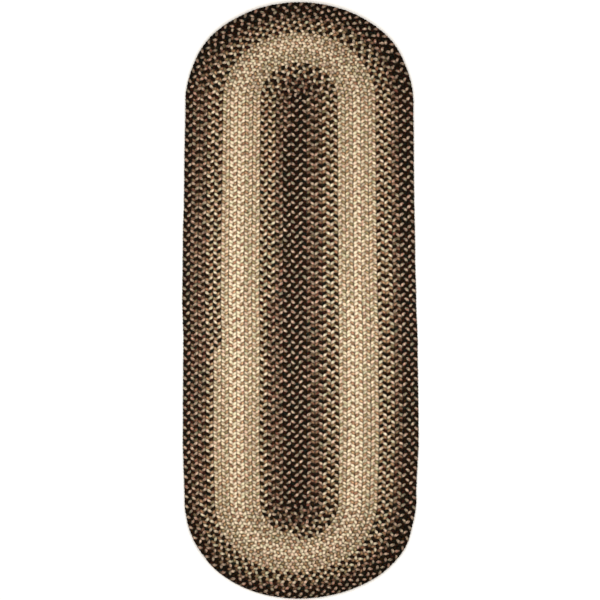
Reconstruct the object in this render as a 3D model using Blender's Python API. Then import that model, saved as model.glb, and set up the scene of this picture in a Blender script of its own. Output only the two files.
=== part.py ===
"""Braided rug: one flat braid, wound clockwise from the middle into a long oval and laced edge to edge.

Metres, +Z up, +Y along the rug. The origin is under the middle of the rug, on its flat underside.
Every row of the winding is a raised rib. The winding starts at the lower end of the middle seam, goes up
the left side, round the top end, down the right side and round the lower end to the next row out.
"""

import math

import bmesh
import bpy
import numpy as np
from mathutils import Vector

# The winding
ROWS = 15  # rows of braid from the middle seam to either long edge
HALF_WIDTH = 0.305  # from the middle seam to a long edge, before the rug spreads as it lies
ROW = HALF_WIDTH / ROWS  # width of the braid
STRAIGHT = 1.056  # length of the straight run of every row
CORE_ROWS = 5  # dark rows in the middle
LIGHT_ROWS = 10  # rows up to the outer edge of the light band

LOWER_SQUARENESS = 2.06  # exponent of the lower end's curve; 2 is an ellipse
TAIL_TIP = 0.06  # the tail ends where it has tapered to this share of a row

# How the rows lie, in widths of the braid: a little loose near the middle, and drawn tight round the ends
REACH = np.array(
    (
        # rows out, from the seam at the sides, past the straight run at the top end, and at the lower end
        (-1.0, -1.018, -0.944, -0.918),
        (5.0, 5.09, 4.72, 4.59),
        (10.0, 10.10, 8.60, 8.78),
        (14.0, 14.11, 11.64, 11.80),
        (15.0, 15.00, 12.56, 12.56),
        (16.0, 16.00, 13.30, 13.30),
    )
)

# The braid's section
THICK = 0.011  # at the crest of a row
GROOVE = 0.004  # depth of the groove between two rows
SHOULDER_DROP = 0.25 * GROOVE  # how far a row has fallen a quarter of its width from the crest
RIM = (  # rings down the outer edge, from the groove's height to the underside
    # drawn in from the ring above, height
    (0.0008, 0.002),
    (0.0022, 0.000),
)

# Steps of the mesh
SIDE_STEPS = 9
END_STEPS = 22
ACROSS = np.array([0.0, 0.25, 0.5, 0.75, 1.0])  # stations across a row, from its inner to its outer edge
WELD = 0.00001

# How the rug lies: how wide each half is at stations along it, as a share of HALF_WIDTH
LAY = (
    # along, left half, right half
    (0.785, 0.980, 1.000),
    (0.700, 0.987, 1.002),
    (0.600, 0.964, 0.976),
    (0.526, 0.971, 0.984),
    (0.320, 0.982, 0.989),
    (0.106, 0.995, 1.000),
    (0.000, 0.999, 1.009),
    (-0.104, 0.990, 1.021),
    (-0.366, 0.994, 1.029),
    (-0.520, 0.980, 1.009),
    (-0.585, 0.976, 1.003),
    (-0.660, 0.978, 1.032),
    (-0.720, 0.986, 1.040),
    (-0.785, 0.986, 1.010),
)


def eased(at, stations, values):
    """Values between the stations, with a level run at each one, so that the edge has no corners."""
    k = np.clip(np.searchsorted(stations, at) - 1, 0, len(stations) - 2)
    t = np.clip((at - stations[k]) / (stations[k + 1] - stations[k]), 0.0, 1.0)
    return values[k] + (values[k + 1] - values[k]) * t * t * (3.0 - 2.0 * t)


def laid(across, along):
    """World x and y of a point `across` widths of the braid to the right of the seam, `along` metres up."""
    stations, left, right = np.array(LAY)[::-1].T
    share = np.where(across < 0.0, eased(along, stations, left), eased(along, stations, right))
    return ROW * across * share, along


def reach(out, column):
    """How far out a curve lies, in widths of the braid, at the sides (1), the top (2) or lower end (3)."""
    return np.interp(out, REACH[:, 0], REACH[:, column])


def power(value, exponent):
    """The value raised to the exponent, with its sign kept."""
    return np.sign(value) * np.abs(value) ** exponent


def side(inner, outer, way):
    """Points of a straight run: rows `inner` to `outer` from the seam, going up (way 1) or down (way -1)."""
    along = way * np.linspace(-STRAIGHT / 2, STRAIGHT / 2, SIDE_STEPS + 1)[:, None]
    across = -way * reach(inner + (outer - inner) * ACROSS, 1)[None, :]
    return laid(*np.broadcast_arrays(across, along))


def top_end(inner, outer):
    """Points of a half turn round the top end, from the left side to the right side."""
    turn = np.linspace(math.pi, 0.0, END_STEPS + 1)[:, None]
    radius = (inner + (outer - inner) * ACROSS)[None, :]
    return laid(reach(radius, 1) * np.cos(turn), STRAIGHT / 2 + ROW * reach(radius, 2) * np.sin(turn))


def lower_end(inner, outer, across=ACROSS):
    """Points of a half turn round the lower end, from the right side to the left side.

    It starts half a row nearer the seam than its middle and ends half a row further out. `outer` may be a
    number or one for each step, as on the tail, which tapers to nothing.
    """
    turn = np.linspace(0.0, math.pi, END_STEPS + 1)[:, None]
    outer = np.broadcast_to(outer, END_STEPS + 1)[:, None]
    radius = inner + (outer - inner) * across[None, :]
    right, left = reach(radius - 0.5, 1), reach(radius + 0.5, 1)
    x = (right - left) / 2 + (right + left) / 2 * power(np.cos(turn), 2.0 / LOWER_SQUARENESS)
    y = -STRAIGHT / 2 - ROW * reach(radius, 3) * power(np.sin(turn), 2.0 / LOWER_SQUARENESS)
    return laid(x, y)


def heights(across=ACROSS, fullness=1.0):
    """Heights across a row: a groove at both edges, a shoulder beside each and a crest in the middle.

    `fullness` is 1 for a whole row, and falls to 0 where the tail has tapered away.
    """
    from_crest = np.abs(across - 0.5) * 2.0
    drop = np.interp(from_crest, (0.0, 0.5, 1.0), (0.0, SHOULDER_DROP, GROOVE))
    return THICK - GROOVE + (GROOVE - drop) * fullness


def tail_width():
    """Width of the tail in rows at each step round the lower end, from a whole row down to nothing."""
    turn = np.linspace(0.0, math.pi, END_STEPS + 1)
    width = (1.0 + np.cos(turn)) / 2.0
    return np.where(width < TAIL_TIP, 0.0, width)


def strips():
    """Every strip of the winding, as (x, y, z, row): arrays of stations along it by stations across.

    A strip round the lower end has the yarns of the row it leads to, but the light band's last one is
    still light.
    """
    ribs = heights()
    for n in range(1, ROWS + 1):
        yield *side(n - 1, n, 1), ribs, n
        yield *top_end(n - 1, n), ribs, n
        yield *side(n - 1, n, -1), ribs, n
        if n < ROWS:
            yield *lower_end(n - 0.5, n + 0.5), ribs, n if n == LIGHT_ROWS else n + 1
    width = tail_width()
    tail = heights(fullness=np.sqrt(width)[:, None])
    yield *lower_end(ROWS - 0.5, ROWS - 0.5 + width), tail, ROWS
    half = ACROSS[:3]  # the braid's start is a rounded end half a row in radius, highest in its middle
    yield *lower_end(0.0, 0.5, half * 2.0), heights(half + 0.5), 1


def top_sheet():
    """The whole top of the rug as one open mesh: the strips, welded where neighbouring rows meet."""
    sheet = bmesh.new()
    for x, y, z, row in strips():
        points = np.stack(np.broadcast_arrays(x, y, z), axis=-1)
        grid = [[sheet.verts.new(p) for p in station] for station in points.tolist()]
        material = 1 if CORE_ROWS < row <= LIGHT_ROWS else 0
        for near, far in zip(grid, grid[1:]):
            for k in range(len(near) - 1):
                face = sheet.faces.new((near[k], far[k], far[k + 1], near[k + 1]))
                face.material_index = material
    bmesh.ops.remove_doubles(sheet, verts=sheet.verts, dist=WELD)
    bmesh.ops.dissolve_degenerate(sheet, edges=sheet.edges, dist=WELD)
    return sheet


def tucked(point, tuck, height):
    """The point at this height, drawn in by `tuck` towards the nearest point of the middle seam."""
    seam = Vector((0.0, max(-STRAIGHT / 2, min(STRAIGHT / 2, point.y)), 0.0))
    inward = (seam - Vector((point.x, point.y, 0.0))).normalized() * tuck
    return Vector((point.x + inward.x, point.y + inward.y, height))


def add_rim_and_underside(rug):
    """Carries the sheet's open edge down and in to the floor, and closes it with one flat face."""
    edge = [e for e in rug.edges if e.is_boundary]
    for tuck, height in RIM:
        made = bmesh.ops.extrude_edge_only(rug, edges=edge)["geom"]
        edge = [g for g in made if isinstance(g, bmesh.types.BMEdge) and g.is_boundary]
        for v in {v for e in edge for v in e.verts}:
            v.co = tucked(v.co, tuck, height)
    bmesh.ops.contextual_create(rug, geom=edge)


def centre(rug):
    """Puts the origin under the middle of the rug."""
    places = np.array([v.co for v in rug.verts])
    middle = (places.min(axis=0) + places.max(axis=0)) / 2.0
    bmesh.ops.translate(rug, verts=rug.verts, vec=(-middle[0], -middle[1], 0.0))


def yarn(name, colour, roughness):
    """A matt yarn."""
    material = bpy.data.materials.new(name)
    material.use_nodes = True
    shader = material.node_tree.nodes["Principled BSDF"]
    shader.inputs["Base Color"].default_value = (*colour, 1.0)
    shader.inputs["Roughness"].default_value = roughness
    shader.inputs["Metallic"].default_value = 0.0
    material.diffuse_color = (*colour, 1.0)
    return material


def make_rug():
    rug = top_sheet()
    add_rim_and_underside(rug)
    bmesh.ops.recalc_face_normals(rug, faces=rug.faces)
    centre(rug)
    mesh = bpy.data.meshes.new("braided_rug")
    rug.to_mesh(mesh)
    rug.free()
    mesh.shade_smooth()
    mesh.set_sharp_from_angle(angle=math.radians(50.0))
    mesh.materials.append(yarn("dark_yarn", (0.060, 0.045, 0.035), 0.9))
    mesh.materials.append(yarn("light_yarn", (0.480, 0.370, 0.240), 0.9))
    return bpy.data.objects.new("braided_rug", mesh)


def main():
    for old in list(bpy.data.objects):
        bpy.data.objects.remove(old, do_unlink=True)
    group = bpy.data.collections.new("braided rug")
    bpy.context.scene.collection.children.link(group)
    group.objects.link(make_rug())


main()
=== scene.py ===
"""The looks of the braided rug: three heathered strands, braided flat and wound into a long oval.

Metres, +Z up, +Y along the rug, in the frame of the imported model. The braid starts at the lower end of the
middle seam and is wound clockwise, seen from above: up the left side, round the top end, down the right side
and round the lower end to the next row out. Each strand is a real tube that goes over and under the two
others all the way out. The yarns are changed eight times on the way, which gives the dark core, the light
band and the dark border, of three shades each.
"""

import math

import bpy
import numpy as np
from bpy.props import FloatProperty, FloatVectorProperty, PointerProperty
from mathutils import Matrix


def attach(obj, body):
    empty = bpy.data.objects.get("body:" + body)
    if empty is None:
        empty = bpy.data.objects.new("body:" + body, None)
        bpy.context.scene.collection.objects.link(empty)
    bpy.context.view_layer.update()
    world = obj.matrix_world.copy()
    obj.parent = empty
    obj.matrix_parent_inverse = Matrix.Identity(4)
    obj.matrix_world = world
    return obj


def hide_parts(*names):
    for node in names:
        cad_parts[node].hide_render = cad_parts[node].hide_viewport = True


bl_info = {
    "name": "Braided rug",
    "version": (1, 0, 0),
    "blender": (4, 5, 0),
    "location": "View3D > Sidebar > Braided rug",
    "description": "Winds a long oval rug from one three-strand braid and lays it on a floor",
    "category": "Add Mesh",
}

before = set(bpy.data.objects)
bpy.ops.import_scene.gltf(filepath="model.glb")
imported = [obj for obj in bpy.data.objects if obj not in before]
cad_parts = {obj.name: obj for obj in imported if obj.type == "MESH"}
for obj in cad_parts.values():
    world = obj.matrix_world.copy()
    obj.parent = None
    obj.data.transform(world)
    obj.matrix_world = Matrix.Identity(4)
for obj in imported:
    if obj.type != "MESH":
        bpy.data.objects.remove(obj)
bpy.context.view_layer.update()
SOLID = "braided_rug"

# The winding and the way it lies are the solid's. Only the outermost rows round the ends lie a little
# further in here, because a strand bulges past the middle line that it is wound along.

# The winding
ROWS = 15  # rows of braid from the middle seam to either long edge
HALF_WIDTH = 0.305  # from the middle seam to a long edge, before the rug spreads as it lies
ROW = HALF_WIDTH / ROWS  # width of the braid
STRAIGHT = 1.056  # length of the straight run of every row
LOWER_SQUARENESS = 2.06  # exponent of the lower end's curve; 2 is an ellipse

# How the rows lie, in widths of the braid: a little loose near the middle, and drawn tight round the ends
REACH = np.array(
    (
        # rows out, from the seam at the sides, past the straight run at the top end, and at the lower end
        (-1.0, -1.018, -0.944, -0.918),
        (5.0, 5.09, 4.72, 4.59),
        (10.0, 10.10, 8.60, 8.78),
        (14.0, 14.11, 11.64, 11.80),
        (15.0, 15.00, 12.44, 12.49),
        (16.0, 16.00, 13.24, 13.27),
    )
)

# How the rug lies: how wide each half is at stations along it, as a share of HALF_WIDTH
LAY = (
    # along, left half, right half
    (0.785, 0.980, 1.000),
    (0.700, 0.987, 1.002),
    (0.600, 0.964, 0.976),
    (0.526, 0.971, 0.984),
    (0.320, 0.982, 0.989),
    (0.106, 0.995, 1.000),
    (0.000, 0.999, 1.009),
    (-0.104, 0.990, 1.021),
    (-0.366, 0.994, 1.029),
    (-0.520, 0.980, 1.009),
    (-0.585, 0.976, 1.003),
    (-0.660, 0.978, 1.032),
    (-0.720, 0.986, 1.040),
    (-0.785, 0.986, 1.010),
)

# Where the yarns are changed, in turns from the start; a quarter turn is one side or one end
CORE_END = 4.868  # the dark core gives way to the light band
LIGHT_END = 10.094  # and the light band to the dark border
RUNS = (
    # end of the run, yarn of the first, second and third strand
    (1.230, "charcoal", "charcoal", "taupe"),
    (3.125, "charcoal", "walnut", "taupe"),
    (CORE_END, "charcoal", "tan", "stone"),
    (6.625, "oat", "fawn", "stone"),
    (8.400, "cream", "rust", "cream"),
    (LIGHT_END, "oat", "fawn", "stone"),
    (12.000, "charcoal", "tan", "stone"),
    (13.300, "charcoal", "walnut", "taupe"),
    (ROWS, "charcoal", "charcoal", "taupe"),
)
CORE = (-1.0, CORE_END)  # from before the braid's start
LIGHT = (CORE_END, LIGHT_END)
BORDER = (LIGHT_END, ROWS)

# The two ends of the braid, in rows and turns
START_REACH = 0.48  # the braid starts this far before the straight run
START_ROUND = 0.5  # radius of the round that its start follows
START_RISE = 0.6  # share of its rise that would be left to a strand at the tip of that round
TAIL_TURN = ROWS - 0.25  # the last lower end starts here, along which the braid tapers
TAIL_END = 0.10  # the tail ends where it has tapered to this share of a row

# How unevenly the braid lies
PULL_LONG = 0.20  # metres of braid over which it is pulled more or less tightly
PULL_SEED = 85302  # sets where it is pulled tight; picked by a random search against the photograph
SWAY_LONG = 1.9  # crossings over which the braid sways to one side of its row
SWAY = 0.015  # how far it sways at the most, in rows
SWAY_SEED = 30
UNEVEN = {
    # what differs along one strand: crossings between two random values, share of the unevenness, seed
    "swing": (0.7, 1.5, 10),
    "fullness": (0.37, 1.0, 20),
    "crest": (0.5, 0.5, 40),
}

# The strands' tubes
RINGS = 12  # rings for each full crossing of the braid
SIDES = 8
TOP_CROWDING = 0.30  # how far the rings are drawn to the upper passes, which are the ones seen
SPLICE = 2  # rings by which a strand reaches back into the one it is spliced to
SQUEEZED = 0.85  # share of its thickness that a strand keeps in the middle of its row
END_RING = 0.6  # size of the first and last ring, as a share of the strand's
END_POLE = 0.15  # how far past them the rounded end reaches, as a share of the strand's width
PERIOD_LONG = 0.041  # length of a strand in one full crossing of the braid
ROUND_LONG = 0.024  # length once round a strand
MAP_MARGIN = 0.002  # left free on the map at the ends of a length, as a share of the length
LANE_MARGIN = 0.06  # and beside it, as a share of the lane that it lies in

# Shade painted into a strand's colour: in the creases between strands, and on the outer crests of the
# outermost row
SIDE_OPEN = 0.20  # how much of its upper side the painted shade leaves lit where it passes underneath
SHADE_POWER_SIDES = 1.5  # power of the painted shade on the straights: the higher, the less of a crest stays lit
SHADE_POWER_ENDS = 3.7  # and round the ends, where the braid is drawn out and more shade is painted
RIM_TURN = ROWS - 1  # the outermost row starts here
RIM_EASE = 0.125  # turns over which its painted shade sets in
RIM_PAINTED_SHADE = 0.35  # how much its outer crests are darkened by painted shade

# The yarn's pattern
YARN_RADIUS = 0.004  # radius of the round that it is drawn on
RING_LONG = 0.0035  # about the length of strand between two rings
STRAND_APART = 100.0  # metres of pattern between two strands, so that none is like another

# How finely the winding is measured
ROUTE_POINTS = 60001  # along the whole braid
EDGE_POINTS = 4001  # along its last turn and a quarter


def linear(code):
    """The linear colour of an sRGB hex value."""
    value = np.array([int(code[i : i + 2], 16) for i in (1, 3, 5)]) / 255.0
    return tuple(np.where(value <= 0.04045, value / 12.92, ((value + 0.055) / 1.055) ** 2.4))


# ---------------------------------------------------------------- the winding


def eased(at, stations, values):
    """Values between the stations, with a level run at each one: a smoothstep from one to the next."""
    k = np.clip(np.searchsorted(stations, at) - 1, 0, len(stations) - 2)
    t = np.clip((at - stations[k]) / (stations[k + 1] - stations[k]), 0.0, 1.0)
    return values[k] + (values[k + 1] - values[k]) * t * t * (3.0 - 2.0 * t)


def laid(across, along):
    """World x and y of a point `across` widths of the braid to the right of the seam, `along` metres up.

    x is the widths times the width of a row times the half's share at that station, and y is `along`.
    """
    stations, left, right = np.array(LAY)[::-1].T
    share = np.where(across < 0.0, eased(along, stations, left), eased(along, stations, right))
    return ROW * across * share, along


def reach(out, column):
    """How far out a curve lies, in widths of the braid, at the sides (1), the top (2) or lower end (3)."""
    return np.interp(out, REACH[:, 0], REACH[:, column])


def power(value, exponent):
    """The value raised to the exponent, with its sign kept."""
    return np.sign(value) * np.abs(value) ** exponent


def wavering(place, every, spread, seed):
    """A smooth random curve: a random value at each `every` of the place, with a smoothstep between two."""
    knots = place / every
    values = np.random.default_rng(seed).uniform(-spread, spread, int(knots.max()) + 3)
    k = np.floor(knots).astype(int)
    t = knots - k
    return values[k] + (values[k + 1] - values[k]) * t * t * (3.0 - 2.0 * t)


def tail_width(turns):
    """Width of the braid in rows: 1, but on the last lower end half of 1 + cos of the angle turned."""
    turned = np.clip((turns - TAIL_TURN) * 4.0, 0.0, 1.0) * math.pi
    return (1.0 + np.cos(turned)) / 2.0


def winding(turns, offset):
    """World x and y of points `turns` from the start and `offset` rows outside the middle of their row.

    A turn has four legs: straight up the left side, half an ellipse round the top, straight down the right
    side, and half a superellipse round the lower end, which ends one row further out than it starts.
    """
    row = np.clip(np.floor(turns), 0, ROWS - 1)
    quarters = (turns - row) * 4.0
    leg = np.clip(np.floor(quarters), 0, 3)
    share = quarters - leg
    angle = math.pi * np.clip(share, 0.0, 1.0)
    out = row + 0.5 + offset
    low = row + 0.5 + tail_width(turns) * (0.5 + offset)
    side, right, left = reach(out, 1), reach(low - 0.5, 1), reach(low + 0.5, 1)
    bend = 2.0 / LOWER_SQUARENESS
    legs = [leg == 0, leg == 1, leg == 2]
    across = np.select(
        legs,
        [-side, -side * np.cos(angle), side],
        (right - left) / 2.0 + (right + left) / 2.0 * power(np.cos(angle), bend),
    )
    along = np.select(
        legs,
        [
            STRAIGHT * (share - 0.5),
            STRAIGHT / 2 + ROW * reach(out, 2) * np.sin(angle),
            STRAIGHT * (0.5 - share),
        ],
        -STRAIGHT / 2 - ROW * reach(low, 3) * power(np.sin(angle), bend),
    )
    return laid(across, along)


def middle_of_rug():
    """The middle of the box round the outermost edge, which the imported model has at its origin."""
    x, y = winding(np.linspace(TAIL_TURN - 1.0, ROWS, EDGE_POINTS), 0.5)
    return (x.min() + x.max()) / 2.0, (y.min() + y.max()) / 2.0


def drawn_out(turns):
    """How far the braid is drawn out: 0 on the straights, and the root of a sine round either end."""
    share = np.clip((turns % 0.5 - 0.25) * 4.0, 0.0, 1.0)
    return np.sin(math.pi * share) ** 0.5


def crossings(sizes):
    """Turns and braid angle along the whole braid: the angle grows by 2 pi for each period of the braid.

    The period is the sides' on the straights and eases to the ends' where the braid is drawn out, and both
    are multiplied by 1 plus a slow random curve, the pull. The pull, its length and its seed and the ends'
    period aren't measured: a random search picked them, for crossings that lie as in the photograph.
    """
    start = -START_REACH * ROW / STRAIGHT / 4.0
    turned = np.clip(np.arccos(2.0 * TAIL_END - 1.0) / math.pi, 0.0, 1.0)
    turns = np.linspace(start, TAIL_TURN + 0.25 * turned, ROUTE_POINTS)
    x, y = winding(turns, np.zeros_like(turns))
    steps = np.hypot(np.diff(x), np.diff(y))
    period = sizes.side_period + (sizes.end_period - sizes.side_period) * drawn_out(turns[1:])
    pull = 1.0 + wavering(np.cumsum(steps), PULL_LONG, sizes.pull, PULL_SEED)
    angle = np.concatenate(([0.0], np.cumsum(2.0 * math.pi * steps / (period * pull))))
    return turns, angle


# ---------------------------------------------------------------- the strands


def uneven(kind, number, periods, sizes):
    """The random curve by which one strand differs along its length, read at places in crossings."""
    every, share, seed = UNEVEN[kind]
    return wavering(periods, every, sizes.unevenness * share, seed + number)


def ring_places(number, span, sizes):
    """Braid angle and turns of each ring of a strand between two places in the winding.

    Gives also the lag of the strand, a third of a period for each strand before it, and the number of its
    first ring, counted from the braid's start. The rings are evenly spaced in angle, plus a cosine of
    twice the angle that draws them to the upper passes.
    """
    turns, angle = crossings(sizes)
    lag = 2.0 * math.pi * number / 3.0
    own = np.arange(0.5, int(angle[-1] / (2.0 * math.pi) * RINGS)) * 2.0 * math.pi / RINGS + lag
    own = own + TOP_CROWDING / 2.0 * np.cos(2.0 * own)
    at = np.interp(own - lag, angle, turns)
    inside = np.flatnonzero((at >= span[0]) & (at <= span[1]) & (own - lag < angle[-1]))
    first = max(inside[0] - SPLICE, 0)
    kept = slice(first, inside[-1] + 1)
    return own[kept], at[kept], lag, first


def section(swing, crossing, full, sizes):
    """Widths and thicknesses of a strand's rings, which are ellipses.

    The width goes from the middle's to the edge's with sin squared of the swing, and from there to the
    strand's own with the size of sin(2 swing), the crossing. It is wider again where the strand lies on the
    floor. The thickness is full on a crest and at the row's edge, and less in the row's middle.
    """
    edge = np.sin(swing) ** 2
    crest_share = np.abs(crossing)
    pinched = sizes.middle_width + (sizes.edge_width - sizes.middle_width) * edge
    wide = (pinched + (sizes.strand_width - pinched) * crest_share) * full
    wide = wide * (1.0 + sizes.flattening * np.maximum(-crossing, 0.0))
    plump = SQUEEZED + (1.0 - SQUEEZED) * np.maximum(crest_share, edge)
    return wide, sizes.strand_thickness * plump * full


def strand(number, span, sizes):
    """Rings of one strand between two places in the winding.

    Gives the path through the rings' middles, their widths and thicknesses, how high each is in its
    crossing, lowered on the outermost row's outer crests to paint shade there, its turns, and the number of
    the first one from the braid's start.

    The strand swings across its row as tanh(dwell times sin(angle)) and rises as sin(2 angle), a figure of
    eight, so it is on top on its way out and underneath on its way back. Both shrink with the tail, and the
    swing follows a quarter circle at the braid's rounded start.
    """
    own, at, lag, first = ring_places(number, span, sizes)
    periods = own / (2.0 * math.pi)
    swing = own + uneven("swing", number, periods, sizes)
    crossing = np.sin(2.0 * swing)
    small = np.sqrt(tail_width(at))
    full = (1.0 + uneven("fullness", number, periods, sizes)) * small
    wide, thick = section(swing, crossing, full, sizes)
    before = np.clip(-at * 4.0 * STRAIGHT / ROW / START_ROUND, 0.0, 1.0)
    gathered = np.sqrt(1.0 - before**2)
    swept = np.tanh(sizes.dwell * np.sin(swing)) / math.tanh(sizes.dwell)
    sway = wavering(periods - lag / (2.0 * math.pi), SWAY_LONG, SWAY, SWAY_SEED)
    x, y = winding(at, sizes.swing / ROW * swept * gathered + sway)
    rise = sizes.rise * small * (START_RISE + (1.0 - START_RISE) * gathered)
    crest = 1.0 + uneven("crest", number, periods, sizes)
    z = rise + 0.5 * sizes.strand_thickness * small + rise * crest * crossing
    x0, y0 = middle_of_rug()
    path = np.stack([x - x0, y - y0, z], axis=1)
    # painted shade on the outer crests of the outermost row, carried into the crease shade
    rim = np.clip((at - RIM_TURN) / RIM_EASE, 0.0, 1.0) * np.maximum(swept, 0.0)
    return path, wide, thick, crossing * (1.0 - RIM_PAINTED_SHADE * rim), at, first


def tube(path, wide, thick):
    """Rings of an elliptical tube: the path plus half the width times cos and half the thickness times sin.

    The width is measured level and square to the path, and the thickness square to both. The first and last
    rings are drawn in, so that the ends are rounded.
    """
    along = np.gradient(path, axis=0)
    along /= np.linalg.norm(along, axis=1)[:, None]
    level = np.cross((0.0, 0.0, 1.0), along)
    level /= np.linalg.norm(level, axis=1)[:, None]
    upright = np.cross(along, level)
    around = (np.arange(SIDES) + 0.5) * 2.0 * math.pi / SIDES
    full = np.ones(len(path))
    full[[0, -1]] = END_RING
    cos, sin = np.cos(around), np.sin(around)
    rings = path[:, None, :] + 0.5 * (
        (wide * full)[:, None, None] * cos[None, :, None] * level[:, None, :]
        + (thick * full)[:, None, None] * sin[None, :, None] * upright[:, None, :]
    )
    ends = path[[0, -1]] + END_POLE * wide[[0, -1], None] * along[[0, -1]] * np.array([[-1.0], [1.0]])
    return rings, ends, around


def yarn_place(path, around, start, twist):
    """Place on the yarn of every point: metres along the strand, and across it on the two axes of its round.

    The round turns once each `twist` metres, because the plies are twisted together.
    """
    steps = np.linalg.norm(np.diff(path, axis=0), axis=1)
    length = start + np.concatenate(([0.0], np.cumsum(steps)))
    turned = around[None, :] + 2.0 * math.pi * length[:, None] / twist
    far = np.broadcast_to(length[:, None], turned.shape)
    return np.stack([far, YARN_RADIUS * np.cos(turned), YARN_RADIUS * np.sin(turned)], axis=-1)


def strand_faces(rings):
    """Corner indices of a closed tube: a quad between two rings and sides, and a triangle at each pole."""
    i, m = np.meshgrid(np.arange(rings - 1), np.arange(SIDES), indexing="ij")
    n = (m + 1) % SIDES
    quads = np.stack([i * SIDES + m, i * SIDES + n, (i + 1) * SIDES + n, (i + 1) * SIDES + m], axis=-1)
    side = np.arange(SIDES)
    after = (side + 1) % SIDES
    last = (rings - 1) * SIDES
    near = np.stack([after, side, np.full(SIDES, rings * SIDES)], axis=-1)
    far = np.stack([last + side, last + after, np.full(SIDES, rings * SIDES + 1)], axis=-1)
    return quads.reshape(-1, 4), near, far


def folded_map(rings):
    """Places of the corners on the unit square: the strand's skin is cut into lengths, laid side by side.

    A length runs along u and the strand's round along v, with a small margin between two lengths. The
    poles' triangles take one step at either end.
    """
    steps = rings + 1
    lengths = max(1, round(math.sqrt(steps / RINGS * PERIOD_LONG / ROUND_LONG)))
    each = math.ceil(steps / lengths)

    def spot(step, ahead, side):
        row, column = step // each, step % each
        u = (column + ahead) / each * (1.0 - 2.0 * MAP_MARGIN) + MAP_MARGIN
        v = (row + LANE_MARGIN + (1.0 - 2.0 * LANE_MARGIN) * side / SIDES) / lengths
        return np.stack([u, v], axis=-1)

    i, m = np.meshgrid(np.arange(rings - 1) + 1, np.arange(SIDES), indexing="ij")
    quads = np.stack([spot(i, 0, m), spot(i, 0, m + 1), spot(i, 1, m + 1), spot(i, 1, m)], axis=-2)
    side = np.arange(SIDES)
    first, last = np.zeros(SIDES, int), np.full(SIDES, rings)
    near = np.stack([spot(first, 1, side + 1), spot(first, 1, side), spot(first, 0, side + 0.5)], axis=-2)
    far = np.stack([spot(last, 0, side), spot(last, 0, side + 1), spot(last, 1, side + 0.5)], axis=-2)
    return np.concatenate([quads.reshape(-1, 2), near.reshape(-1, 2), far.reshape(-1, 2)])


def painted_crease_shade(around, crossing, drawn):
    """How much painted shade each point gets, from 0 on an open crest to 1 deep in a crease.

    It is 1 less the sine of the point's place round, and less is taken off where the strand doesn't pass on
    the point's side of the braid: `crossing` is 1 on the upper pass, -1 on the lower and 0 between them.
    Round the ends, where the braid is drawn out, the power is higher, so the painted shade covers more of
    each crest.
    """
    sine = np.sin(around)[None, :]
    outward = np.clip(np.sign(sine) * crossing[:, None], 0.0, 1.0)
    shade_power = SHADE_POWER_SIDES + (SHADE_POWER_ENDS - SHADE_POWER_SIDES) * drawn[:, None]
    return 1.0 - np.abs(sine) * (SIDE_OPEN + (1.0 - SIDE_OPEN) * outward**shade_power)


def strand_mesh(name, rings, ends, place, painted_shade_depth, kinds):
    """A closed tube as a mesh, with its map, its place on the yarn, its painted shade and the material of
    each ring's yarn.
    """
    count = len(rings)
    points = np.concatenate([rings.reshape(-1, 3), ends])
    points[:, 2] = np.maximum(points[:, 2], 0.0)  # flat where it rests on the floor
    quads, near, far = strand_faces(count)
    corners = np.concatenate([quads.ravel(), near.ravel(), far.ravel()])
    starts = np.concatenate([np.arange(len(quads)) * 4, quads.size + np.arange(2 * SIDES) * 3])
    mesh = bpy.data.meshes.new(name)
    mesh.vertices.add(len(points))
    mesh.vertices.foreach_set("co", points.ravel())
    mesh.loops.add(len(corners))
    mesh.loops.foreach_set("vertex_index", corners)
    mesh.polygons.add(len(starts))
    mesh.polygons.foreach_set("loop_start", starts)
    of_faces = np.concatenate([np.repeat(kinds[:-1], SIDES), np.repeat(kinds[[0, -1]], SIDES)])
    mesh.polygons.foreach_set("material_index", of_faces)
    mesh.update(calc_edges=True)
    mesh.shade_smooth()
    layer = mesh.uv_layers.new(name="OFBake")
    layer.uv.foreach_set("vector", folded_map(count).ravel())
    spots = np.concatenate([place.reshape(-1, 3), place[[0, -1]].mean(axis=1)])
    mesh.attributes.new("yarn_place", "FLOAT_VECTOR", "POINT").data.foreach_set("vector", spots.ravel())
    # how much painted shade each point gets; the poles get the most
    deep = np.concatenate([painted_shade_depth.ravel(), [1.0, 1.0]])
    mesh.attributes.new("painted_shade_depth", "FLOAT", "POINT").data.foreach_set("value", deep)
    mesh.validate()
    return mesh


def spliced_yarns(number, at):
    """The yarns that a strand goes through, in order, and the number of the one that each ring is of.

    `at` are the rings' turns, from the first ring on, and a ring is of the first run that ends past it.
    """
    runs = np.searchsorted([run[0] for run in RUNS], at, side="right")
    names = [RUNS[k][1 + number] for k in np.unique(runs)]
    yarns = list(dict.fromkeys(names))
    return yarns, np.array([yarns.index(name) for name in names])[runs - runs[0]]


def make_strand(name, number, span, sizes):
    """One strand of a band as a finished piece, in the yarns of its runs."""
    path, wide, thick, crossing, at, first = strand(number, span, sizes)
    rings, ends, around = tube(path, wide, thick)
    place = yarn_place(path, around, STRAND_APART * number + RING_LONG * first, sizes.ply_twist)
    yarns, kinds = spliced_yarns(number, at)
    mesh = strand_mesh(name, rings, ends, place, painted_crease_shade(around, crossing, drawn_out(at)), kinds)
    for yarn in yarns:
        mesh.materials.append(heathered_wool(yarn))
    piece = bpy.data.objects.new(name, mesh)
    bpy.context.scene.collection.objects.link(piece)
    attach(piece, "root")
    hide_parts(SOLID)
    return piece


def make_band(name, span):
    """The three strands of a band, each a piece of its own."""
    sizes = bpy.context.scene.rug_braid
    pieces = [make_strand(f"{name}_strand_{n + 1}", n, span, sizes) for n in range(3)]


# ---------------------------------------------------------------- the yarns

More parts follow.
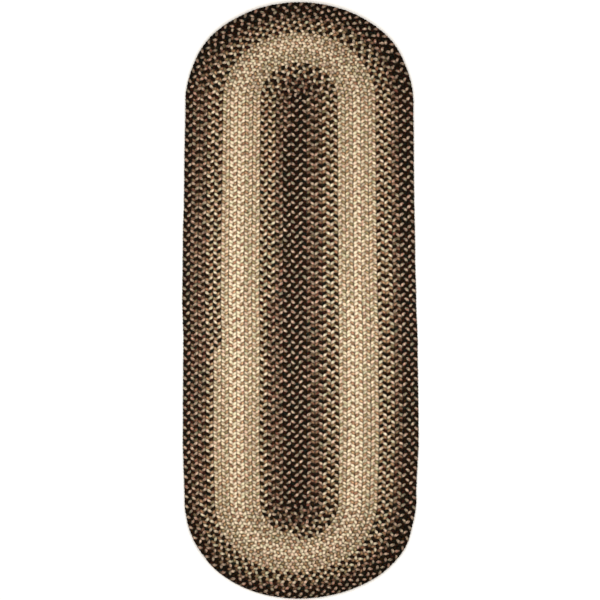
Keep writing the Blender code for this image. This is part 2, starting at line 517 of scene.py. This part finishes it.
# Heathered wool-blend rug yarn, carded from dyed fibres of several shades and spun, then plied into a
# strand. The eye gets a matt surface with short streaks of lighter, darker, rusty and olive fibre.
FLECKS = {
    # yarn: dark streak, light streak and highlight as factors of the yarn's colour, warm fleck, cool fleck,
    # and by how much of its colour a length of it is paler or deeper than the rest
    "charcoal": (0.40, 1.8, 3.2, "#36120f", "#0d1e1a", 0.30),
    "walnut": (0.35, 1.35, 1.9, "#783e34", "#4f583a", 0.28),
    "taupe": (0.35, 1.35, 1.9, "#a16855", "#767c5e", 0.28),
    "tan": (0.40, 1.30, 1.7, "#8a523c", "#666b48", 0.22),
    "fawn": (0.40, 1.30, 1.6, "#a2715a", "#81825a", 0.16),
    "stone": (0.42, 1.22, 1.4, "#c69583", "#a6a984", 0.20),
    "oat": (0.42, 1.22, 1.4, "#c59379", "#a8a77a", 0.10),
    "cream": (0.70, 1.10, 1.2, "#e1b9a0", "#cfcca0", 0.06),
    "rust": (0.35, 1.50, 2.3, "#945d49", "#8f8458", 0.22),
}
# Each pattern is noise, stretched to a grain's length and width in metres. Its places, from 0 to 1, are
# those at which one shade gives way to the next.
STREAK_LONG = 0.006  # length of a streak of one shade along the strand
STREAK_WIDE = 0.0022  # width of a streak, coarser than the real 0.5 mm so that it shows
STREAK_PLACES = (0.34, 0.45, 0.55, 0.65)  # of the dark streak, the own colour, the light and the highlight
FLECK_LONG = 0.010  # length of a warm or cool fleck
FLECK_WIDE = 0.005  # and its width, over half a strand's
WARM_PLACES = (0.55, 0.66)  # where a warm fleck sets in, and where it is full
COOL_PLACES = (0.34, 0.45)  # where a cool one is full, and where it ends
FLECK_SHARE = 0.65  # how much of a fleck's own colour shows
TONE_LONG = 0.016  # length of yarn that is paler or deeper than the rest
TONE_WIDE = 0.020  # wider than the strand, so that the whole of it is
TONE_PLACES = (0.25, 0.75)
FIBRE_LONG = 0.003  # length that shows of a fibre in the surface
FIBRE_WIDE = 0.0005  # and its width, coarser than the real 0.03 mm so that it shows
FIBRE_PLACES = (0.3, 0.7)
FIBRE_TONE = 0.14  # how much single fibres differ in brightness
CREASE_PLACES = (0.10, 0.85)  # where the painted crease shade sets in, and where it is at its darkest
DARK_CREASE_SHADE = 0.20  # painted shade in a black yarn's creases, as a factor of its colour,
PALE_CREASE_SHADE = 0.70  # and in a white one's, which is lighter, as pale yarn passes more of the light on
STREAK_RELIEF = 1.5  # how far a streak stands out, to a fibre's 1
RELIEF = 0.0006  # how far a fibre stands out, in metres


def node(tree, kind, settings=None, inputs=None):
    """Adds a node, sets its properties and its inputs; an input that is a socket is linked."""
    made = tree.nodes.new(kind)
    for key, value in (settings or {}).items():
        setattr(made, key, value)
    for key, value in (inputs or {}).items():
        if isinstance(value, bpy.types.NodeSocket):
            tree.links.new(value, made.inputs[key])
        else:
            made.inputs[key].default_value = value
    return made


def grain(tree, place, long, wide, detail, shift):
    """Noise whose grains are `long` along the strand and `wide` across it.

    It is moved on by `shift` grains, so that no two patterns line up.
    """
    scaled = node(
        tree,
        "ShaderNodeVectorMath",
        {"operation": "MULTIPLY_ADD"},
        {0: place, 1: (1.0 / long, 1.0 / wide, 1.0 / wide), 2: (shift, shift, shift)},
    )
    return node(
        tree,
        "ShaderNodeTexNoise",
        {"noise_dimensions": "3D"},
        {"Vector": scaled.outputs[0], "Scale": 1.0, "Detail": detail, "Roughness": 0.55},
    ).outputs["Fac"]


def through(ramp, places, colours):
    """The colour of a ramp that has these colours at these places."""
    stops = ramp.color_ramp.elements
    while len(stops) < len(places):
        stops.new(0.5)
    for stop, place, colour in zip(stops, places, colours):
        stop.position = place
        stop.color = (*colour, 1.0)
    return ramp.outputs["Color"]


def yarn_shades(tree, streaks, base, factors):
    """The yarn's colour with its streaks: dark, own, light and highlight, by the streaks' noise."""
    dark, light, highlight = factors
    shades = (base * dark, base, np.minimum(base * light, 1.0), np.minimum(base * highlight, 1.0))
    return through(node(tree, "ShaderNodeValToRGB", {}, {"Fac": streaks}), STREAK_PLACES, shades)


def flecked(tree, place, colour, warm, cool):
    """The colour with warm flecks where the flecks' noise is high, and cool ones where it is low."""
    flecks = grain(tree, place, FLECK_LONG, FLECK_WIDE, 1.0, 31.0)
    none, most = (0.0,) * 3, (FLECK_SHARE,) * 3
    for code, places, shares in ((warm, WARM_PLACES, (none, most)), (cool, COOL_PLACES, (most, none))):
        share = through(node(tree, "ShaderNodeValToRGB", {}, {"Fac": flecks}), places, shares)
        colour = node(
            tree,
            "ShaderNodeMix",
            {"data_type": "RGBA"},
            {0: share, 6: colour, 7: (*linear(code), 1.0)},
        ).outputs[2]
    return colour


def shading(tree, place, fibres, base, patchy):
    """How bright the yarn is at each point: the product of three factors.

    It has shade painted into the creases, is paler or deeper by lengths of yarn, and is uneven from fibre to
    fibre.
    """
    # the painted shade in the creases, read from the mesh; the darkest is lighter for a pale yarn
    painted_shade_depth = node(tree, "ShaderNodeAttribute", {"attribute_name": "painted_shade_depth"}).outputs["Fac"]
    tones = grain(tree, place, TONE_LONG, TONE_WIDE, 0.0, 83.0)
    darkest_shade = DARK_CREASE_SHADE + (PALE_CREASE_SHADE - DARK_CREASE_SHADE) * base.mean()
    factors = [
        node(
            tree,
            "ShaderNodeMapRange",
            {},
            {"Value": value, "From Min": places[0], "From Max": places[1], "To Min": low, "To Max": high},
        ).outputs["Result"]
        for value, places, low, high in (
            (painted_shade_depth, CREASE_PLACES, 1.0, darkest_shade),
            (tones, TONE_PLACES, 1.0 - patchy, 1.0 + patchy),
            (fibres, FIBRE_PLACES, 1.0 - FIBRE_TONE, 1.0 + FIBRE_TONE),
        )
    ]
    shade = factors[0]
    for factor in factors[1:]:
        shade = node(tree, "ShaderNodeMath", {"operation": "MULTIPLY"}, {0: shade, 1: factor}).outputs[0]
    return shade


def heathered_wool(yarn):
    """Matt spun wool: streaks round the yarn's own colour, with warm and cool flecks, standing fibres and
    painted crease shade.
    """
    name = f"{yarn}_heathered_wool"
    if name in bpy.data.materials:
        return bpy.data.materials[name]
    material = bpy.data.materials.new(name)
    material.use_nodes = True
    tree = material.node_tree
    shader = tree.nodes["Principled BSDF"]
    base = np.array(getattr(bpy.context.scene.rug_yarns, yarn))
    *factors, warm, cool, patchy = FLECKS[yarn]
    place = node(tree, "ShaderNodeAttribute", {"attribute_name": "yarn_place"}).outputs["Vector"]
    streaks = grain(tree, place, STREAK_LONG, STREAK_WIDE, 1.5, 0.0)
    fibres = grain(tree, place, FIBRE_LONG, FIBRE_WIDE, 2.0, 57.0)
    coloured = flecked(tree, place, yarn_shades(tree, streaks, base, factors), warm, cool)
    shaded = node(
        tree,
        "ShaderNodeMix",
        {"data_type": "RGBA", "blend_type": "MULTIPLY"},
        {0: 1.0, 6: coloured, 7: shading(tree, place, fibres, base, patchy)},
    ).outputs[2]
    height = node(
        tree,
        "ShaderNodeMath",
        {"operation": "MULTIPLY_ADD"},
        {0: streaks, 1: STREAK_RELIEF, 2: fibres},
    ).outputs[0]
    bump = node(tree, "ShaderNodeBump", {}, {"Strength": 0.5, "Distance": RELIEF, "Height": height})
    tree.links.new(shaded, shader.inputs["Base Color"])
    tree.links.new(bump.outputs["Normal"], shader.inputs["Normal"])
    shader.inputs["Roughness"].default_value = 0.92
    shader.inputs["IOR"].default_value = 1.45
    shader.inputs["Specular IOR Level"].default_value = 0.04
    shader.inputs["Sheen Weight"].default_value = 0.02
    shader.inputs["Sheen Roughness"].default_value = 0.6
    material.diffuse_color = (*base, 1.0)
    return material


# ---------------------------------------------------------------- the floor, the light and the camera

FLOOR_HALF = 20.0  # half the floor's side
SKY_COLOUR = (1.0, 0.945, 0.89, 1.0)  # a little warm, as the rug's ends are
SKY_STRENGTH = 1.12
LAMP_ACROSS = 0.8
LAMP_WATTS = 4.9
LAMP_COLOUR = (0.87, 0.94, 1.0)  # a little cool, so that the middle comes out neutral
LAMP_AT = (0.0, -0.03, 0.74)
SENSOR = 36.0  # width of the camera's sensor in millimetres
CAMERA_AT = (-0.0012, 0.0009, 8.0)  # a hair off the middle, as the rug is in the photograph
RUG_PLANE = 0.006  # the height at which the frame is measured
FRAME_WIDE = 1.5756  # width of floor that the photograph's frame takes in


def make_floor(scene):
    """A plain pale floor, painted matt white."""
    half = FLOOR_HALF
    mesh = bpy.data.meshes.new("floor")
    corners = [(-half, -half, 0), (half, -half, 0), (half, half, 0), (-half, half, 0)]
    mesh.from_pydata(corners, [], [(0, 1, 2, 3)])
    material = bpy.data.materials.new("painted_floor")
    material.use_nodes = True
    shader = material.node_tree.nodes["Principled BSDF"]
    shader.inputs["Base Color"].default_value = (*scene.rug_stage.floor, 1.0)
    shader.inputs["Roughness"].default_value = 0.9
    shader.inputs["Specular IOR Level"].default_value = 0.1
    mesh.materials.append(material)
    floor = bpy.data.objects.new("floor", mesh)
    scene.collection.objects.link(floor)


def make_light(scene):
    """An even sky, and a round soft lamp low over the rug.

    The lamp lights the middle of the rug more than its ends, as in the photograph.
    """
    world = bpy.data.worlds.new("sky")
    world.use_nodes = True
    world.node_tree.nodes["Background"].inputs["Color"].default_value = SKY_COLOUR
    world.node_tree.nodes["Background"].inputs["Strength"].default_value = SKY_STRENGTH
    scene.world = world
    lamp = bpy.data.lights.new("soft_lamp", "AREA")
    lamp.shape = "DISK"
    lamp.size = LAMP_ACROSS
    lamp.energy = LAMP_WATTS
    lamp.color = LAMP_COLOUR
    holder = bpy.data.objects.new("soft_lamp", lamp)
    holder.location = LAMP_AT
    holder.visible_camera = False
    scene.collection.objects.link(holder)


def make_camera(scene):
    """A camera straight above the rug.

    The lens is the sensor's width times the distance to the rug, over the width that the frame takes in.
    """
    lens = bpy.data.cameras.new("camera")
    lens.sensor_width = SENSOR
    lens.lens = SENSOR * (CAMERA_AT[2] - RUG_PLANE) / FRAME_WIDE
    camera = bpy.data.objects.new("camera", lens)
    camera.location = CAMERA_AT
    scene.collection.objects.link(camera)
    scene.camera = camera
    scene.view_settings.view_transform = "Standard"


# ---------------------------------------------------------------- properties


class RugBraid(bpy.types.PropertyGroup):
    """Sizes of the braid."""

    strand_width: FloatProperty(
        name="Strand width",
        description="Width of a strand on the crest of a crossing",
        default=0.0082,
        unit="LENGTH",
    )
    middle_width: FloatProperty(
        name="Width in the middle",
        description="Width of a strand where it is squeezed between the others in the middle of the row",
        default=0.0048,
        unit="LENGTH",
    )
    edge_width: FloatProperty(
        name="Width at the edge",
        description="Width of a strand where it turns at the row's edge",
        default=0.0090,
        unit="LENGTH",
    )
    strand_thickness: FloatProperty(
        name="Strand thickness",
        description="Thickness of a strand on the crest of a crossing",
        default=0.0058,
        unit="LENGTH",
    )
    swing: FloatProperty(
        name="Swing",
        description="How far a strand's middle swings from the middle of its row",
        default=0.0069,
        unit="LENGTH",
    )
    dwell: FloatProperty(
        name="Dwell",
        description="How long a strand stays at the row's edge before it turns back",
        default=1.0,
        subtype="FACTOR",
    )
    rise: FloatProperty(
        name="Rise",
        description="How far a strand's middle rises and falls as it crosses the others",
        default=0.0030,
        unit="LENGTH",
    )
    side_period: FloatProperty(
        name="Period on the sides",
        description="Length of braid in which a strand comes back to the same place",
        default=0.0259,
        unit="LENGTH",
    )
    end_period: FloatProperty(
        name="Period round the ends",
        description="The same length round the ends, where the braid is drawn out",
        default=0.0299,
        unit="LENGTH",
    )
    flattening: FloatProperty(
        name="Flattening underneath",
        description="How much wider a strand is where it lies on the floor, as a share of its width",
        default=0.40,
        subtype="FACTOR",
    )
    ply_twist: FloatProperty(
        name="Ply twist",
        description="Length of strand in which its plies turn once",
        default=0.050,
        unit="LENGTH",
    )
    pull: FloatProperty(
        name="Uneven pull",
        description="How much the period grows and shrinks along the braid, as a share of it",
        default=0.03,
        subtype="FACTOR",
    )
    unevenness: FloatProperty(
        name="Unevenness",
        description="How much the crossings of a hand-fed braid differ in size",
        default=0.09,
        subtype="FACTOR",
    )


def yarn_colour(name, code, description):
    """A colour property with this sRGB hex value as its default."""
    return FloatVectorProperty(
        name=name, description=description, subtype="COLOR", size=3, min=0.0, max=1.0, default=linear(code)
    )


class RugYarns(bpy.types.PropertyGroup):
    """Main colour of each heathered yarn."""

    charcoal: yarn_colour("Charcoal", "#190d01", "Nearly black yarn of the core and the border")
    walnut: yarn_colour("Walnut", "#6e543f", "Brown yarn beside the darkest rows")
    taupe: yarn_colour("Taupe", "#9b8571", "Grey brown yarn of the inner core and the outer border")
    tan: yarn_colour("Tan", "#8e7052", "Mid brown yarn beside the light band")
    fawn: yarn_colour("Fawn", "#937756", "Paler brown yarn in the light band's inner and outer rows")
    stone: yarn_colour("Stone", "#c4b398", "Pale grey yarn beside and in the light band")
    oat: yarn_colour("Oat", "#d1bb9c", "Mixed yarn of the light band's inner and outer rows")
    cream: yarn_colour("Cream", "#decbad", "Palest yarn, in the middle of the light band")
    rust: yarn_colour("Rust", "#967659", "Red brown yarn among the cream")


class RugStage(bpy.types.PropertyGroup):
    """Colour of the floor."""

    floor: yarn_colour("Floor", "#fafaf8", "Plain pale floor")


# ---------------------------------------------------------------- operators


class RUG_OT_core(bpy.types.Operator):
    """Braids the dark core, the first five rows out from the middle seam"""

    bl_idname = "rug.core"
    bl_label = "Dark core"

    def execute(self, context):
        make_band("core", CORE)
        return {"FINISHED"}


class RUG_OT_light_band(bpy.types.Operator):
    """Braids the light band, five rows of oat, fawn and stone with cream and rust in their middle"""

    bl_idname = "rug.light_band"
    bl_label = "Light band"

    def execute(self, context):
        make_band("light_band", LIGHT)
        return {"FINISHED"}


class RUG_OT_border(bpy.types.Operator):
    """Braids the dark border, the outer five rows and the tapering tail"""

    bl_idname = "rug.border"
    bl_label = "Dark border"

    def execute(self, context):
        make_band("border", BORDER)
        return {"FINISHED"}


class RUG_OT_stage(bpy.types.Operator):
    """Sets up the pale floor, the soft light and the camera straight above"""

    bl_idname = "rug.stage"
    bl_label = "Floor, light and camera"

    def execute(self, context):
        make_floor(context.scene)
        make_light(context.scene)
        make_camera(context.scene)
        return {"FINISHED"}


class RUG_PT_panel(bpy.types.Panel):
    """Lists the pieces of the rug and their sizes and colours"""

    bl_idname = "RUG_PT_panel"
    bl_label = "Braided rug"
    bl_space_type = "VIEW_3D"
    bl_region_type = "UI"
    bl_category = "Braided rug"

    def draw(self, context):
        for operator in STEPS:
            self.layout.operator(operator.bl_idname)
        for group in (context.scene.rug_braid, context.scene.rug_yarns, context.scene.rug_stage):
            box = self.layout.box()
            for name in group.__annotations__:
                box.prop(group, name)


STEPS = (RUG_OT_core, RUG_OT_light_band, RUG_OT_border, RUG_OT_stage)
GROUPS = (RugBraid, RugYarns, RugStage)


def register():
    for made in (*GROUPS, *STEPS, RUG_PT_panel):
        bpy.utils.register_class(made)
    bpy.types.Scene.rug_braid = PointerProperty(type=RugBraid)
    bpy.types.Scene.rug_yarns = PointerProperty(type=RugYarns)
    bpy.types.Scene.rug_stage = PointerProperty(type=RugStage)


def unregister():
    del bpy.types.Scene.rug_stage, bpy.types.Scene.rug_yarns, bpy.types.Scene.rug_braid
    for made in reversed((*GROUPS, *STEPS, RUG_PT_panel)):
        bpy.utils.unregister_class(made)


def main():
    register()
    bpy.ops.rug.core()
    bpy.ops.rug.light_band()
    bpy.ops.rug.border()
    bpy.ops.rug.stage()
    bpy.context.view_layer.update()


if __name__ == "__main__":
    main()
